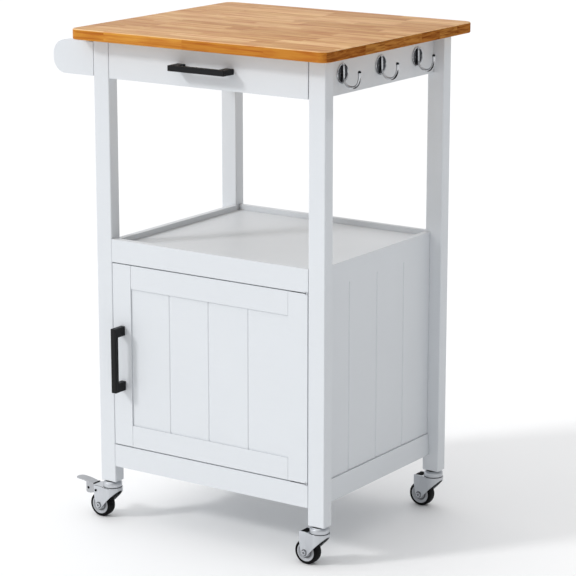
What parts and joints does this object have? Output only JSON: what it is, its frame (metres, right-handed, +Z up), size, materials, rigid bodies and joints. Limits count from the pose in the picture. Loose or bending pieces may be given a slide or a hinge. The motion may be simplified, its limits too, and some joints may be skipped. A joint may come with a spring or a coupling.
{
  "type": "kitchen island cart",
  "caption": "Rolling kitchen cart: wooden worktop on painted legs, a drawer over an open shelf, a cabinet with a framed door, a towel rack and hooks, on swivel casters.",
  "frame": {"origin": "on the floor, under the middle of the whole object's outline, towel rack included", "axes": "+Z up, front with the door and drawer towards -Y, towel rack towards -X, hooks towards +X"},
  "size_m": [0.61, 0.486, 0.914],
  "materials": {
    "worktop_wood": "oiled finger-jointed staves, satin",
    "white_paint": "satin white paint over wood",
    "bare_wood": "bare sanded wood",
    "black_pull": "matt black powder coat",
    "chrome": "polished",
    "zinc_steel": "bright zinc plate",
    "wheel_hub": "moulded light grey",
    "tyre_rubber": "matt black",
    "catch_plastic": "moulded black"
  },
  "bodies": {
    "frame": {"worktop": "worktop_wood", "leg_front_left": "white_paint", "leg_front_right": "white_paint", "leg_back_left": "white_paint", "leg_back_right": "white_paint", "apron_left": "white_paint", "apron_right": "white_paint", "apron_back": "white_paint", "rail_front_middle": "white_paint", "rail_front_bottom": "white_paint", "side_panel_left": "white_paint", "side_panel_right": "white_paint", "rail_bottom_left": "white_paint", "rail_bottom_right": "white_paint", "back_panel": "white_paint", "shelf_board": "white_paint", "cabinet_floor": "white_paint", "hinge_top_fixed": "zinc_steel", "hinge_bottom_fixed": "zinc_steel", "door_catch": "catch_plastic", "drawer_runner_left": "bare_wood", "drawer_runner_right": "bare_wood", "rack_bracket_front": "white_paint", "rack_bracket_back": "white_paint", "towel_rod": "white_paint", "hook_front": "chrome", "hook_middle": "chrome", "hook_back": "chrome", "caster_stem_front_left": "zinc_steel", "caster_stem_front_right": "zinc_steel", "caster_stem_back_left": "zinc_steel", "caster_stem_back_right": "zinc_steel"},
    "door": {"door_stile_left": "white_paint", "door_stile_right": "white_paint", "door_rail_top": "white_paint", "door_rail_bottom": "white_paint", "door_panel": "white_paint", "door_pull": "black_pull", "hinge_top_leaf": "zinc_steel", "hinge_bottom_leaf": "zinc_steel"},
    "drawer": {"drawer_front": "white_paint", "drawer_side_left": "bare_wood", "drawer_side_right": "bare_wood", "drawer_back": "bare_wood", "drawer_bottom": "bare_wood", "drawer_pull": "black_pull"},
    "fork_front_left": {"caster_fork_front_left": "zinc_steel"},
    "wheel_front_left": {"caster_hub_front_left": "wheel_hub", "caster_tyre_front_left": "tyre_rubber"},
    "brake_front_left": {"caster_brake_front_left": "zinc_steel"},
    "fork_front_right": {"caster_fork_front_right": "zinc_steel"},
    "wheel_front_right": {"caster_hub_front_right": "wheel_hub", "caster_tyre_front_right": "tyre_rubber"},
    "fork_back_left": {"caster_fork_back_left": "zinc_steel"},
    "wheel_back_left": {"caster_hub_back_left": "wheel_hub", "caster_tyre_back_left": "tyre_rubber"},
    "brake_back_left": {"caster_brake_back_left": "zinc_steel"},
    "fork_back_right": {"caster_fork_back_right": "zinc_steel"},
    "wheel_back_right": {"caster_hub_back_right": "wheel_hub", "caster_tyre_back_right": "tyre_rubber"}
  },
  "joints": [
    {"name": "door_hinge", "type": "hinge", "parent": "frame", "child": "door", "pos_m": [0.2425, -0.2037, 0.32], "axis": [0, 0, 1], "range_deg": [0, 105]},
    {"name": "drawer_slide", "type": "slide", "parent": "frame", "child": "drawer", "axis": [0, -1, 0], "range_m": [0, 0.22]},
    {"name": "swivel_front_left", "type": "hinge", "parent": "frame", "child": "fork_front_left", "pos_m": [-0.197, -0.1935, 0.065], "axis": [0, 0, 1], "continuous": true},
    {"name": "wheel_spin_front_left", "type": "hinge", "parent": "fork_front_left", "child": "wheel_front_left", "pos_m": [-0.221, -0.1935, 0.023], "axis": [0, 1, 0], "continuous": true},
    {"name": "brake_pedal_front_left", "type": "hinge", "parent": "fork_front_left", "child": "brake_front_left", "pos_m": [-0.2275, -0.1935, 0.0505], "axis": [0, -1, 0], "range_deg": [0, 12]},
    {"name": "swivel_front_right", "type": "hinge", "parent": "frame", "child": "fork_front_right", "pos_m": [0.263, -0.1935, 0.065], "axis": [0, 0, 1], "continuous": true},
    {"name": "wheel_spin_front_right", "type": "hinge", "parent": "fork_front_right", "child": "wheel_front_right", "pos_m": [0.239, -0.1935, 0.023], "axis": [0, 1, 0], "continuous": true},
    {"name": "swivel_back_left", "type": "hinge", "parent": "frame", "child": "fork_back_left", "pos_m": [-0.197, 0.1935, 0.065], "axis": [0, 0, 1], "continuous": true},
    {"name": "wheel_spin_back_left", "type": "hinge", "parent": "fork_back_left", "child": "wheel_back_left", "pos_m": [-0.221, 0.1935, 0.023], "axis": [0, 1, 0], "continuous": true},
    {"name": "brake_pedal_back_left", "type": "hinge", "parent": "fork_back_left", "child": "brake_back_left", "pos_m": [-0.2275, 0.1935, 0.0505], "axis": [0, -1, 0], "range_deg": [0, 12]},
    {"name": "swivel_back_right", "type": "hinge", "parent": "frame", "child": "fork_back_right", "pos_m": [0.263, 0.1935, 0.065], "axis": [0, 0, 1], "continuous": true},
    {"name": "wheel_spin_back_right", "type": "hinge", "parent": "fork_back_right", "child": "wheel_back_right", "pos_m": [0.239, 0.1935, 0.023], "axis": [0, 1, 0], "continuous": true}
  ]
}
